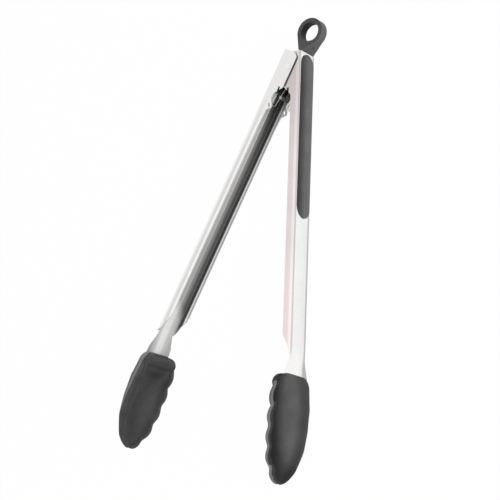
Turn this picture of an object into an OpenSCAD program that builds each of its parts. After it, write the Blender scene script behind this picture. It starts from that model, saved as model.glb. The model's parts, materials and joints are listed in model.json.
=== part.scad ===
// Spring loaded locking kitchen tongs, 12 inch, lying open on their side.
// X runs from the heads to the hang ring, Y is the way the arms open, Z is the hinge axis.
// The origin is the bottom centre of the whole part. Each arm is drawn in its own arm frame:
// x is minus the distance from the hinge towards the head, y points out of the arm's back.

/* [Hinge] */
// Half of the angle between the arms when they stand open
open_angle = 13.8; // [10:0.2:16]
// Half of the angle that is left when the heads meet
shut_angle = 1; // [0.9:0.1:2]
// Distance from the hinge axis to the back of each arm
back_y = 9; // [8.6:0.1:10]
// Radius of the rivet
rivet_r = 1.25; // [1.1:0.05:1.35]
// Radius of the rivet's head
rivet_head_r = 1.9; // [1.7:0.05:2]
// Height of the rivet's head
rivet_head_h = 0.4; // [0.3:0.1:1]
// Running clearance round the rivet
rivet_fit = 0.05; // [0.02:0.01:0.08]

/* [Arms] */
// Thickness of the steel sheet
sheet = 0.9; // [0.7:0.05:1.1]
// Outer width of the inner arm, whose ears nest inside the other arm's
inner_w = 17.2; // [16.6:0.2:20]
// Clearance between the nested ears
nest_gap = 0.1; // [0.05:0.05:0.2]
// Depth of the channel between the hinge and the neck
arm_depth = 6.9; // [6:0.1:7.4]
// Outer radius of the bend between back and walls
bend_r = 1.6; // [1.2:0.1:2]
// Length of the arm past the hinge, at the ring's end
arm_top = 10.4; // [10:0.1:11.5]
// Distance from the hinge to where the walls step down to the neck
wall_end = 179; // [165:1:185]
// Length of the step from full walls to the low walls of the neck
neck_step = 11; // [8:0.5:14]
// Depth of the low walls at the neck
neck_depth = 2.2; // [1.6:0.1:3]
// Length of the low walls
neck_run = 6; // [4:0.5:8]
// Half of the width of the blade where it enters the head
blade_half_w = 12.5; // [11:0.5:12.5]
// How much narrower the blade is inside the head, on each side
blade_tuck = 2.5; // [1.5:0.5:4]
// Distance from the hinge to the end of the blade
blade_end = 228; // [222:1:230]
// Half of the width of the blade where it leaves the back
blade_root_w = 5.5; // [5:0.25:6]
// Length over which the blade lies on the neck before the neck's low walls end
blade_lap = 9; // [7:0.5:10]
// Length inside the head over which the blade keeps its full width
shoulder_len = 3; // [2:0.5:4]
// Length over which the blade narrows inside the head
tuck_len = 5; // [4:0.5:6]
// Radius of the blade's corners at its end
blade_nose = 8; // [6:0.5:9]
// Share of the step between walls and neck at which it has nearly come up
knee_share = 0.6; // [0.5:0.05:0.7]
// What is left of the step there
knee_drop = 1; // [0.6:0.1:1.4]
// Softening of the corner where the walls end
wall_round = 2; // [1:0.25:2.5]
// Softening of the corners of the step
neck_round = 3; // [2:0.25:3.5]

/* [Ears] */
// How far the ears reach past the hinge axis
ear_y = 3.3; // [3:0.1:3.6]
// Distance from the hinge to the lower corner of the ears
ear_end = 13.4; // [13:0.1:14]
// Length of the slope from the ears' corner up to the walls
ear_slope = 6; // [5.5:0.25:6.5]
// Height of the slope at the ears' upper corner
ear_chamfer = 3; // [2.5:0.25:3.5]
// Length of the slope at the ears' upper corner
ear_top_cut = 2.2; // [1.8:0.1:2.6]
// Softening of the ears' corners
ear_round = 1.2; // [0.8:0.1:1.4]
// Width of the notch that takes the cross head of the lock
notch_w = 1.6; // [1.5:0.05:1.7]
// Distance from the hinge to the middle of the lug
lug_x = 27.5; // [27:0.5:30]
// Length of the lug at its root
lug_len = 8.5; // [7:0.5:8.5]
// Length of the lug's slope on the hinge's side
lug_upper = 4.2; // [3.5:0.1:4.5]
// Length of the lug's slope on the head's side
lug_lower = 2.6; // [2:0.1:3]
// Softening of the corners at the lug's root
lug_root = 0.8; // [0.4:0.1:1]
// Softening of the corners at the lug's crest
lug_round = 1; // [0.6:0.1:1]
// Height of the lug above the walls' free edge
lug_h = 3.1; // [2.8:0.1:3.4]
// Width of the slot in the lug
lug_slot_w = 1.3; // [1:0.1:1.4]
// Length of the slot in the lug between the centres of its ends
lug_slot_len = 1.8; // [1.4:0.1:2]

/* [Grips] */
// Half of the width of a grip pad
grip_half_w = 7.3; // [6.5:0.1:7.6]
// Height of a grip pad above the arm's back
grip_h = 0.7; // [0.4:0.1:1.2]
// Distance of the grip's upper end past the hinge, towards the ring
grip_top = 9.3; // [8.6:0.1:9.8]
// Distance from the hinge to the lower end of the grip
grip_end = 102; // [80:1:130]
// Depth of the recess in the arm's back that the grip is bedded in
recess = 0.3; // [0.2:0.05:0.4]
// Clearance between the grip's edge and the recess
grip_fit = 0.3; // [0.1:0.05:0.4]

/* [Heads] */
// Distance from the hinge to the mouth of a head
head_start = 206; // [203:0.5:208]
// Distance from the hinge to the tip of a head
head_end = 272; // [262:1:285]
// Half of the width of a head at its widest
head_half_w = 17; // [16:0.5:19]
// Half of the width of a head at its mouth
mouth_half_w = 15.4; // [15:0.1:16]
// Distance from the hinge to the widest place of a head
head_wide_x = 236; // [230:1:242]
// Height of the head's back above the arm's back
head_over = 0.9; // [0.6:0.1:1.5]
// Drop of the head's back at the tip
tip_drop = 13.6; // [12:0.2:14.4]
// Distance from the hinge to where the head's back starts to curve in
back_curve_x = 215; // [208:1:220]
// Place of the rim at the mouth, measured as the arm's y
rim_mouth_y = 0.4; // [0:0.1:1]
// Place of the rim near the tip, measured as the arm's y
rim_tip_y = -3.5; // [-3.8:0.1:-2.5]
// Length of one scallop of the rim
scallop_len = 13; // [10:0.5:16]
// Length at the tip over which the rim runs level
tip_level = 14; // [10:1:18]
// Height of the scallops
scallop_h = 1.7; // [1.2:0.1:1.8]
// Thickness of the head's wall at the rim
rim_wall = 2.2; // [1.6:0.1:3]
// Thickness of the head's floor
floor_wall = 2.6; // [2.4:0.1:3]
// Length of the solid end at the mouth
mouth_wall = 4; // [3:0.5:6]
// Length over which the scoop's floor sinks behind the mouth
scoop_ramp = 8; // [5:0.5:12]
// Share of the scoop's depth that the ramp takes
ramp_share = 0.45; // [0.3:0.05:0.5]
// Exponent of the cross section at the mouth, where it is boxy
boxy = 0.3; // [0.26:0.01:0.34]
// Exponent of the cross section behind the mouth, where it is domed
domed = 0.58; // [0.5:0.02:0.65]
// Length behind the mouth over which the section turns from boxy to domed
dome_run = 30; // [28:1:36]
// How far the back swells between mouth and tip
swell = 2.6; // [2.2:0.1:3]
// Fullness of the head's outline towards the tip, where 2 is an ellipse
tip_fullness = 2.5; // [2.2:0.1:2.8]
// Half of the width of the flat at the head's tip
tip_flat = 1.5; // [1:0.1:2]
// Clearance between the blade and its pocket
pocket_fit = 0.05; // [0:0.05:0.1]

/* [Spring] */
// Radius of the spring wire
wire_r = 0.45; // [0.35:0.01:0.46]
// Mean radius of the coils
coil_r = 3.6; // [3.5:0.05:4]
// Clearance between neighbouring turns
turn_gap = 0.06; // [0.04:0.01:0.08]
// Turns of each coil that stay with the outer arm
fixed_turns = 1.5; // [1:0.5:1.5]
// Distance from the hinge to where the spring presses on the backs
leg_reach = 27; // [22:1:30]
// Length of the foot at the end of each leg
leg_foot = 5; // [3:0.5:6]
// Clearance between spring and the pieces round it
spring_fit = 0.1; // [0.05:0.05:0.12]
// Radius of the bushes inside the coils
bush_r = 3; // [2.8:0.05:3.05]

/* [Lock] */
// Angle between the lock strip and the middle of the tongs
lock_tilt = 4.6; // [4:0.1:5]
// Distance from the hinge axis to the middle of the strip
strip_y = 3.44; // [3.4:0.02:3.6]
// Thickness of the strip
strip_t = 1; // [0.8:0.05:1]
// Half of the width of the strip
strip_half_w = 3.25; // [2.5:0.05:3.3]
// Clearance between strip and guide, on each side
strip_fit = 0.05; // [0.03:0.01:0.08]
// Travel of the lock when it is pulled out
lock_travel = 5.8; // [5:0.1:6]
// Distance from the hinge to the middle of the cross head, with the lock pulled out
cross_x = 15.4; // [15.3:0.1:15.7]
// Length of the cross head along the strip
cross_len = 2; // [1.4:0.1:2.1]
// Length of the bend that leads to the cross head
joggle_len = 4; // [3:0.25:4.5]
// Half of the length of the guide along the strip
guide_half_len = 3.6; // [3:0.1:3.8]
// Thickness of the guide's wall outside the strip
guide_wall = 0.8; // [0.5:0.1:1]
// Radius of the guide round the rivet
guide_r = 3.3; // [3:0.1:3.5]
// Half of the guide's width along the hinge axis
guide_half_w = 4.15; // [4:0.05:4.2]

/* [Ring] */
// Radius of the ring outside
ring_r = 9.5; // [9:0.1:10]
// Radius of the hole that hangs on a hook
ring_hole_r = 6.7; // [6:0.1:6.9]
// Distance from the hinge to the centre of the ring
ring_x = 27; // [26.6:0.2:32]
// Thickness of the ring along its hole
ring_t = 6.4; // [5:0.1:9]
// Distance from the hinge to the foot of the ring
ring_foot_x = 13; // [12.9:0.05:13.4]
// Thickness of the ring's foot
ring_foot_t = 2.6; // [2.4:0.1:3]
// Half of the width of the ring's foot
ring_foot_half_w = 7.3; // [6.5:0.1:7.6]
// Distance from the hinge to where the foot has narrowed to the ring
ring_shoulder_x = 22; // [20:0.5:23]
// Depth of the strip in the ring's foot
ring_socket = 5.5; // [4.5:0.25:6]
// Radius of the pin through ring and strip
pin_r = 0.9; // [0.7:0.05:1.1]

/* [Hidden] */
$fn = 64;
steel = [0.9, 0.89, 0.88];
charcoal = [0.28, 0.28, 0.29];
outer_w = inner_w + 2 * (sheet + nest_gap);
wall_y = back_y - arm_depth;
neck_y = back_y - neck_depth;
neck_end = wall_end + neck_step + neck_run;
corner_steps = 4;
big = 60;
cut_over = 1;
flare_start = neck_end - blade_lap;
flare_len = head_start - flare_start;
flare_power = 1.25;
tuck_half_w = blade_half_w - blade_tuck;
lug_slope = atan2(lug_h, lug_upper);
slot_place = 1.1;
lug_slot_x = -lug_x + lug_len / 2 - lug_upper * slot_place;
foot_bend = 1;
foot_ease = 0.15;
cross_gap = 0.8;
notch_fit = 0.3;
pin_sink = 0.3;
tip_gap = 0.1;
back_power = 3;
scoop_below = 4;
inner_back = back_y - sheet;
inside_half = inner_w / 2 - sheet;
first_turn_z = guide_half_w + spring_fit + wire_r;
turn_pitch = 2 * wire_r + turn_gap;
leg_turn_z = inside_half - spring_fit - wire_r;
leg_y = inner_back - wire_r;
leg_slope = atan2(leg_y, leg_reach) - asin(coil_r / norm([leg_y, leg_reach]));
wire_sides = 8;
turn_steps = 14;
cross_out_y = cross_x * sin(lock_tilt) / cos(lock_tilt);
cross_rest_x = cross_x + lock_travel;
joggle_start = cross_rest_x - cross_len / 2 - cross_gap - joggle_len;
notch_start = cross_x - cross_len / 2 - notch_fit;
notch_len = ear_end + ear_slope - notch_start;
socket_end = ring_foot_x + ring_socket;
pin_x = ring_foot_x + ring_socket - 2 * pin_r;
section_steps = 16;
head_steps = 44;
cavity_end = head_end - rim_wall;
scoop_foot = rim_tip_y - scoop_below;
tip_x = head_end * cos(open_angle) - rim_tip_y * sin(open_angle);
ring_top_x = ring_x * cos(lock_tilt) - strip_y * sin(lock_tilt) + ring_r;
origin_shift = [(tip_x - ring_top_x) / 2, 0, head_half_w];

// Frames

module outer_frame() translate(origin_shift) rotate(-open_angle) children();

module inner_frame() translate(origin_shift) rotate(open_angle) mirror([0, 1, 0]) children();

module hinge_frame() translate(origin_shift) children();

module lock_frame() translate(origin_shift) rotate(-lock_tilt) translate([0, -strip_y, 0]) children();

// Extrudes a side outline of the x-y plane to both sides of the middle plane
module both_sides(half) translate([0, 0, -half]) linear_extrude(2 * half) children();

// Extrudes a plan outline of the x-z plane from y0 to y1
module in_plan(y0, y1) translate([0, y1, 0]) rotate([90, 0, 0]) linear_extrude(y1 - y0) children();

// Extrudes a cross section, whose x is the part's z, from x = -from to x = -to
module along_arm(from, to) translate([-from, 0, 0]) rotate([0, -90, 0]) linear_extrude(to - from) children();

// Outlines

// The outline with each corner of it softened; a corner is [x, y, cut length]
function softened(corners) = [
    for (i = [0 : len(corners) - 1])
        let (
            b = [corners[i][0], corners[i][1]],
            before = corners[(i + len(corners) - 1) % len(corners)],
            after = corners[(i + 1) % len(corners)],
            u = [before[0], before[1]] - b,
            v = [after[0], after[1]] - b,
            cut = corners[i][2]
        )
        each cut == 0 ? [b] : [
            for (k = [0 : corner_steps])
                let (t = k / corner_steps)
                b + (1 - t) * (1 - t) * cut * u / norm(u) + t * t * cut * v / norm(v)
        ]
];

function mirrored_plan(half) = concat(half, [for (i = [len(half) - 1 : -1 : 0]) [half[i][0], -half[i][1]]]);

// Side outline of an arm: back, upper end, ear, lug, wall, neck
arm_outline = softened([
    [arm_top, back_y + cut_over, 0],
    [arm_top, ear_chamfer - ear_y, ear_round],
    [arm_top - ear_top_cut, -ear_y, ear_round],
    [-ear_end, -ear_y, ear_round],
    [-ear_end - ear_slope, wall_y, ear_round],
    [-lug_x + lug_len / 2, wall_y, lug_root],
    [-lug_x + lug_len / 2 - lug_upper, wall_y - lug_h, lug_round / 2],
    [-lug_x - lug_len / 2 + lug_lower, wall_y - lug_h, lug_round / 2],
    [-lug_x - lug_len / 2, wall_y, lug_root],
    [-wall_end, wall_y, wall_round],
    [-wall_end - neck_step * knee_share, neck_y - knee_drop, neck_round],
    [-wall_end - neck_step, neck_y, neck_round],
    [-neck_end, back_y + cut_over, 0]
]);

// Channel section with round bends at the back
module channel_section(w, r) {
    square_w = w - 2 * r;
    translate([-w / 2, -big]) square([w, big + back_y - bend_r]);
    translate([-square_w / 2, -big]) square([square_w, big + back_y - bend_r + r]);
    for (side = [-1, 1]) translate([side * square_w / 2, back_y - bend_r]) circle(r);
}

// Plan outline of the blade, wider by grow all round
function blade_outline(grow) = mirrored_plan([
    for (share = [0 : 0.25 : 1])
        [-flare_start - flare_len * share,
            blade_root_w + (blade_half_w - blade_root_w) * pow(share, flare_power) + grow],
    [-head_start - shoulder_len, blade_half_w + grow],
    [-head_start - shoulder_len - tuck_len, tuck_half_w + grow],
    for (a = [0 : 15 : 90])
        [-blade_end + blade_nose - (blade_nose + grow) * sin(a),
            tuck_half_w - blade_nose + (blade_nose + grow) * cos(a)]
]);

// A slot along x through the whole part, with round ends
module long_hole(length, width) {
    for (end = [-1, 1]) translate([end * length / 2, 0, 0]) cylinder(h = big, r = width / 2, center = true);
    cube([length, width, big], center = true);
}

module arm(w, hole_r) {
    difference() {
        union() {
            intersection() {
                difference() {
                    along_arm(-arm_top, neck_end + cut_over) channel_section(w, bend_r);
                    along_arm(-arm_top - cut_over, neck_end + 2 * cut_over)
                        channel_section(w - 2 * sheet, bend_r - sheet);
                }
                both_sides(w) polygon(arm_outline);
            }
            in_plan(inner_back, back_y) polygon(blade_outline(0));
        }
        cylinder(h = big, r = hole_r, center = true);
        rotate(shut_angle) translate([-notch_start - notch_len, -notch_w / 2, -w])
            cube([notch_len, notch_w, 2 * w]);
        translate([lug_slot_x, wall_y - lug_h / 2 + lug_slot_w / 2, 0]) rotate(lug_slope)
            long_hole(lug_slot_len, lug_slot_w);
        grip_bar(grip_fit, back_y - recess, back_y + cut_over);
    }
}

// Grips

// A bar with round ends across the arm's back, from x0 to x1 along the arm
module round_bar(x0, x1, half, y0, y1) {
    in_plan(y0, y1) {
        translate([-x1 + half, -half]) square([x1 - x0 - 2 * half, 2 * half]);
        for (x = [x0 + half, x1 - half]) translate([-x, 0]) circle(half);
    }
}

module grip_bar(grow, y0, y1) round_bar(-grip_top - grow, grip_end + grow, grip_half_w + grow, y0, y1);

module grip() grip_bar(0, back_y - recess, back_y + grip_h);

// Heads

// How the width narrows from the widest place, at share 0, to the tip, at share 1
function narrowing(share) = pow(1 - pow(share, tip_fullness), 1 / tip_fullness);

// Half width of a head at distance x from the hinge
function head_half(x) = x < head_wide_x
    ? mouth_half_w + (head_half_w - mouth_half_w) * sin(90 * (x - head_start) / (head_wide_x - head_start))
    : max(tip_flat, head_half_w * narrowing((x - head_wide_x) / (head_end - head_wide_x)));

// Height of the middle of the head's back at distance x
function head_back(x) = back_y + head_over + swell * sin(90 * min(1, (x - head_start) / dome_run))
    - tip_drop * pow(max(0, x - back_curve_x) / (head_end - back_curve_x), back_power);

// Exponent of the cross section at distance x
function head_boxy(x) = boxy + (domed - boxy) * min(1, (x - head_start) / dome_run);

// Height of the scalloped rim at distance x
function head_rim(x) = let (share = min(1, (x - head_start) / (head_end - tip_level - head_start)))
    rim_mouth_y + (rim_tip_y - rim_mouth_y) * share - scallop_h / 2 * cos(360 * (head_end - x) / scallop_len);

// An arch: half of a superellipse of exponent e, half width w, from y0 at its feet to y1 at its crown
function arch(w, y0, y1, e) = [
    for (i = [0 : section_steps])
        let (a = 180 - 180 * i / section_steps)
        [sign(cos(a)) * w * pow(abs(cos(a)), e), y0 + (y1 - y0) * pow(abs(sin(a)), e)]
];

// A solid through arches given as [x, half width, foot, crown, exponent], in order along the arm
module arch_loft(stations) {
    n = section_steps + 1;
    count = len(stations);
    points = [for (s = stations) for (p = arch(s[1], s[2], s[3], s[4])) [-s[0], p[1], p[0]]];
    sides = [for (i = [0 : count - 2]) for (k = [0 : n - 1])
        [i * n + k, i * n + (k + 1) % n, (i + 1) * n + (k + 1) % n, (i + 1) * n + k]];
    near_cap = [[for (k = [n - 1 : -1 : 0]) k]];
    far_cap = [[for (k = [0 : n - 1]) (count - 1) * n + k]];
    polyhedron(points, concat(sides, near_cap, far_cap));
}

module head() {
    cavity_start = head_start + mouth_wall;
    difference() {
        arch_loft([for (i = [0 : head_steps])
            let (x = head_start + (head_end - tip_gap - head_start) * i / head_steps)
            [x, head_half(x), head_rim(x), head_back(x), head_boxy(x)]]);
        arch_loft([for (i = [0 : head_steps / 2])
            let (
                share = 2 * i / head_steps,
                x = cavity_start + (cavity_end - tip_gap - cavity_start) * share,
                inner = head_half_w * narrowing(max(0, x - head_wide_x) / (cavity_end - head_wide_x)),
                w = (x < head_wide_x ? head_half(x) : inner) - rim_wall,
                rest = 1 - min(1, (x - cavity_start) / scoop_ramp),
                depth = min(back_y + head_over, head_back(x)) - floor_wall - scoop_foot
            )
            [x, max(tip_flat, w), scoop_foot, scoop_foot + depth * (1 - ramp_share * rest), head_boxy(x)]]);
        in_plan(inner_back - pocket_fit, back_y + pocket_fit) polygon(blade_outline(pocket_fit));
    }
}

// Hinge

module pivot_rivet() color(steel) hinge_frame() {
    translate([0, 0, -outer_w / 2]) cylinder(h = outer_w + rivet_head_h, r = rivet_r);
    translate([0, 0, outer_w / 2]) cylinder(h = rivet_head_h, r = rivet_head_r);
}

module rivet_collar() color(steel) hinge_frame() {
    translate([0, 0, -outer_w / 2 - rivet_head_h]) cylinder(h = rivet_head_h, r = rivet_head_r);
}

module bush(side) {
    bottom = guide_half_w + nest_gap;
    top = inside_half - nest_gap;
    translate([0, 0, side > 0 ? bottom : -top]) difference() {
        cylinder(h = top - bottom, r = bush_r);
        translate([0, 0, -cut_over]) cylinder(h = top - bottom + 2 * cut_over, r = rivet_r + rivet_fit);
    }
}

// Spring

// Sweeps a round wire along a path of points
module wire(path) {
    n = wire_sides;
    last = len(path) - 1;
    points = [for (i = [0 : last])
        let (
            ahead = path[min(last, i + 1)] - path[max(0, i - 1)],
            t = ahead / norm(ahead),
            hint = abs(t[2]) < 0.9 ? [0, 0, 1] : [1, 0, 0],
            side = cross(t, hint) / norm(cross(t, hint)),
            up = cross(side, t)
        )
        for (k = [0 : n - 1]) path[i] + wire_r * (cos(360 * k / n) * side + sin(360 * k / n) * up)];
    sides = [for (i = [0 : last - 1]) for (k = [0 : n - 1])
        [i * n + k, i * n + (k + 1) % n, (i + 1) * n + (k + 1) % n, (i + 1) * n + k]];
    near_cap = [[for (k = [n - 1 : -1 : 0]) k]];
    far_cap = [[for (k = [0 : n - 1]) last * n + k]];
    polyhedron(points, concat(sides, near_cap, far_cap));
}

// Angle on the coil, seen in an arm frame, where the straight leg leaves it
leave_angle = 90 - leg_slope;

// Points round the coil from the leg's root, turning by turns and rising from z0 to z1
function coil_path(turns, z0, z1) = [
    for (i = [0 : turns * turn_steps])
        let (a = leave_angle - 360 * i / turn_steps, share = i / (turns * turn_steps))
        [coil_r * cos(a), coil_r * sin(a), z0 + (z1 - z0) * share]
];

function reversed(list) = [for (i = [len(list) - 1 : -1 : 0]) list[i]];

function flipped(path) = [for (p = path) [p[0], p[1], -p[2]]];

// The two coils, with the bridge that presses on the outer arm's back
module hinge_spring() color(steel) outer_frame() {
    coil_top_z = first_turn_z + fixed_turns * turn_pitch;
    coil = coil_path(fixed_turns, first_turn_z, coil_top_z);
    bridge = [[-leg_reach + foot_bend, leg_y - foot_ease, first_turn_z],
        [-leg_reach, leg_y, first_turn_z - foot_bend]];
    half = concat(reversed(coil), bridge);
    wire(concat(half, reversed(flipped(half))));
}

// One turn and a leg, pressing on the inner arm's back
module spring_leg(side) {
    turn = coil_path(1, leg_turn_z, leg_turn_z);
    rest = [[-leg_reach + foot_bend, leg_y - foot_ease, leg_turn_z], [-leg_reach, leg_y, leg_turn_z],
        [-leg_reach - leg_foot, leg_y, leg_turn_z]];
    path = concat([for (i = [turn_steps - 1 : -1 : 0]) turn[i]], rest);
    wire(side > 0 ? path : flipped(path));
}

// Lock

// The guide that turns on the rivet and leads the strip; y = 0 is the strip's middle plane
module lock_guide() color(steel) lock_frame() {
    slot_t = strip_t + 2 * strip_fit;
    difference() {
        union() {
            translate([0, strip_y, 0]) cylinder(h = 2 * guide_half_w, r = guide_r, center = true);
            translate([-guide_half_len, -slot_t / 2 - guide_wall, -guide_half_w])
                cube([2 * guide_half_len, slot_t / 2 + guide_wall + strip_y, 2 * guide_half_w]);
        }
        translate([0, strip_y, 0]) cylinder(h = big, r = rivet_r + rivet_fit, center = true);
        cube([big, slot_t, 2 * (strip_half_w + strip_fit)], center = true);
    }
}

module lock_strip() color(steel) lock_frame() {
    half = strip_t / 2;
    cross_y = strip_y - cross_out_y;
    difference() {
        union() {
            both_sides(strip_half_w) polygon([
                [socket_end, -half], [socket_end, half], [-joggle_start, half],
                [-joggle_start - joggle_len, cross_y + half], [-cross_rest_x, cross_y + half],
                [-cross_rest_x, cross_y - half], [-joggle_start - joggle_len, cross_y - half],
                [-joggle_start, -half]
            ]);
            translate([-cross_rest_x - cross_len / 2, cross_y - half, -outer_w / 2])
                cube([cross_len, strip_t, outer_w]);
        }
        ring_pin_bore();
    }
}

module ring_pin_bore() translate([pin_x, 0, 0]) rotate([90, 0, 0]) cylinder(h = big, r = pin_r, center = true);

// Half of the ring's thickness in y at distance x, between foot and ring
foot_half_t = ring_foot_t / 2;
tangent_angle = asin((ring_r - foot_half_t) / (ring_x - ring_foot_x));

module hang_ring() color(charcoal) lock_frame() {
    rise = tan(tangent_angle);
    touch_x = ring_x - ring_r * sin(tangent_angle);
    touch_y = ring_r * cos(tangent_angle);
    difference() {
        intersection() {
            union() {
                translate([ring_x, 0, 0]) cylinder(h = 2 * ring_foot_half_w, r = ring_r, center = true);
                both_sides(ring_foot_half_w) polygon([
                    [ring_foot_x, foot_half_t], [touch_x, touch_y], [ring_x, 0], [touch_x, -touch_y],
                    [ring_foot_x, -foot_half_t]
                ]);
            }
            in_plan(-big, big) polygon(mirrored_plan([
                [ring_foot_x, ring_foot_half_w], [ring_shoulder_x, ring_t / 2], [ring_x + ring_r, ring_t / 2]
            ]));
        }
        translate([ring_x, 0, 0]) cylinder(h = big, r = ring_hole_r, center = true);
        translate([ring_foot_x - cut_over, -strip_t / 2 - strip_fit, -strip_half_w - strip_fit])
            cube([ring_socket + cut_over, strip_t + 2 * strip_fit, 2 * (strip_half_w + strip_fit)]);
        ring_pin_bore();
    }
}

module ring_pin() color(charcoal) lock_frame() {
    reach = foot_half_t + (pin_x - ring_foot_x) * tan(tangent_angle) - pin_sink;
    translate([pin_x, reach, 0]) rotate([90, 0, 0]) cylinder(h = 2 * reach, r = pin_r);
}

module outer_arm() color(steel) outer_frame() arm(outer_w, rivet_r + rivet_fit);

module inner_arm() color(steel) inner_frame() arm(inner_w, rivet_r + rivet_fit);

module outer_grip() color(charcoal) outer_frame() grip();

module inner_grip() color(charcoal) inner_frame() grip();

module outer_head() color(charcoal) outer_frame() head();

module inner_head() color(charcoal) inner_frame() head();

module upper_bush() color(steel) hinge_frame() bush(1);

module lower_bush() color(steel) hinge_frame() bush(-1);

module upper_spring_leg() color(steel) inner_frame() spring_leg(1);

module lower_spring_leg() color(steel) inner_frame() spring_leg(-1);

outer_arm();
inner_arm();
outer_grip();
inner_grip();
outer_head();
inner_head();
pivot_rivet();
rivet_collar();
upper_bush();
lower_bush();
hinge_spring();
upper_spring_leg();
lower_spring_leg();
lock_guide();
lock_strip();
hang_ring();
ring_pin();
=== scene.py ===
"""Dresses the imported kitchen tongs: steel arms, scalloped silicone heads, soft grips, hinge and lock."""

import json
import logging
import math
from dataclasses import dataclass
from enum import Enum
from typing import Iterable, Optional

import bmesh
import bpy
from mathutils import Matrix, Vector


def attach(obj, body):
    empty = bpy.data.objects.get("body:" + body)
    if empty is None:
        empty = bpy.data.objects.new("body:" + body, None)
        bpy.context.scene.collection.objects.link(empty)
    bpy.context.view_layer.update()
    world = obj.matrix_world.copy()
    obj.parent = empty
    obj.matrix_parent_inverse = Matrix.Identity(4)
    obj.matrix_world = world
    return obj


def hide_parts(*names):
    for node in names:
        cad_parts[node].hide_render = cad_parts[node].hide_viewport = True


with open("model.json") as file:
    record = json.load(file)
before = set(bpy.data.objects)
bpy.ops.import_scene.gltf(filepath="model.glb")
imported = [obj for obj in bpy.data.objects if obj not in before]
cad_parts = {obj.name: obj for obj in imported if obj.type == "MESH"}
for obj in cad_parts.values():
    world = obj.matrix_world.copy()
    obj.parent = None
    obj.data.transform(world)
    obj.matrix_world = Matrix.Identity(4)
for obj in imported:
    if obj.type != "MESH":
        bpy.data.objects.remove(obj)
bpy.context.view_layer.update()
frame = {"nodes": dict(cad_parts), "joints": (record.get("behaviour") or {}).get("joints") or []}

MM = 0.001
X, Y, Z = Vector((1, 0, 0)), Vector((0, 1, 0)), Vector((0, 0, 1))
LOG = logging.getLogger("tongs")

Colour = tuple[float, float, float]
Triple = tuple[float, float, float]
Stops = tuple[tuple[float, float], ...]
Points = list[tuple[float, float]]
Socket = bpy.types.NodeSocket
Material = bpy.types.Material
Made = list[bpy.types.Object]


def gently(share: float) -> float:
    """Runs from 0 to 1 as the share does, with a gentle start and end, and stays within them."""
    share = min(1.0, max(0.0, share))
    return share * share * (3 - 2 * share)


def part_way(start: float, end: float, share: float) -> float:
    """The value that lies a share of the way from start to end."""
    return start + (end - start) * share


def in_scene(made: bpy.types.Object) -> bpy.types.Object:
    """Puts an object into the scene."""
    bpy.context.scene.collection.objects.link(made)
    return made


class Side(Enum):
    """The two arms of the tongs, named as the bodies that they ride on."""

    OUTER = "outer"
    INNER = "inner"

    @property
    def way(self) -> int:
        """1 for the arm that opens towards +Y, -1 for the other."""
        return 1 if self is Side.OUTER else -1


class Slot(Enum):
    """Material slots of the record."""

    ARM = "arm_steel"
    BRIGHT = "bright_steel"
    SPRING = "spring_steel"
    GRIP = "grip"
    SILICONE = "silicone"
    RING = "ring_plastic"


class Skin(Enum):
    """Zones of a silicone head, numbered as its material slots."""

    SHELL = 0
    LIP = 1
    BAND = 2
    HOLLOW = 3


class Zone(Enum):
    """Zones of an arm's sheet, numbered as its material slots."""

    BACK = 0
    WALL = 1
    FLOOR = 2
    INSIDE = 3
    EDGE = 4
    MIDDLE = 5
    LUG = 6


@dataclass(frozen=True)
class ArmSpace:
    """The frame that an arm is drawn in: x is minus the distance from the hinge, y points out of its back."""

    side: Side
    open_angle: float = 13.8

    @property
    def hinge(self) -> Vector:
        """The hinge's place in the row frame, in metres."""
        return Vector(next(joint["pos_m"] for joint in frame["joints"] if joint["name"] == "jaw_hinge"))

    def matrix(self) -> Matrix:
        """Takes millimetres in the arm's frame to metres in the row frame.

        Returns:
            The matrix, which mirrors on the inner side.
        """
        turn = Matrix.Rotation(math.radians(-self.side.way * self.open_angle), 4, "Z")
        flip = Matrix.Diagonal((MM, self.side.way * MM, MM, 1))
        return Matrix.Translation(self.hinge) @ turn @ flip


@dataclass(frozen=True)
class LockSpace:
    """The frame that the lock is drawn in: x points to the ring, y = 0 is the strip's middle plane."""

    tilt: float = 4.6
    strip_y: float = 3.44

    def matrix(self) -> Matrix:
        """Takes millimetres in the lock's frame to metres in the row frame.

        Returns:
            The matrix.
        """
        turn = Matrix.Rotation(math.radians(-self.tilt), 4, "Z")
        shift = Matrix.Translation((0, -self.strip_y * MM, 0))
        hinge = Matrix.Translation(ArmSpace(Side.OUTER).hinge)
        return hinge @ turn @ shift @ Matrix.Diagonal((MM, MM, MM, 1))


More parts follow.
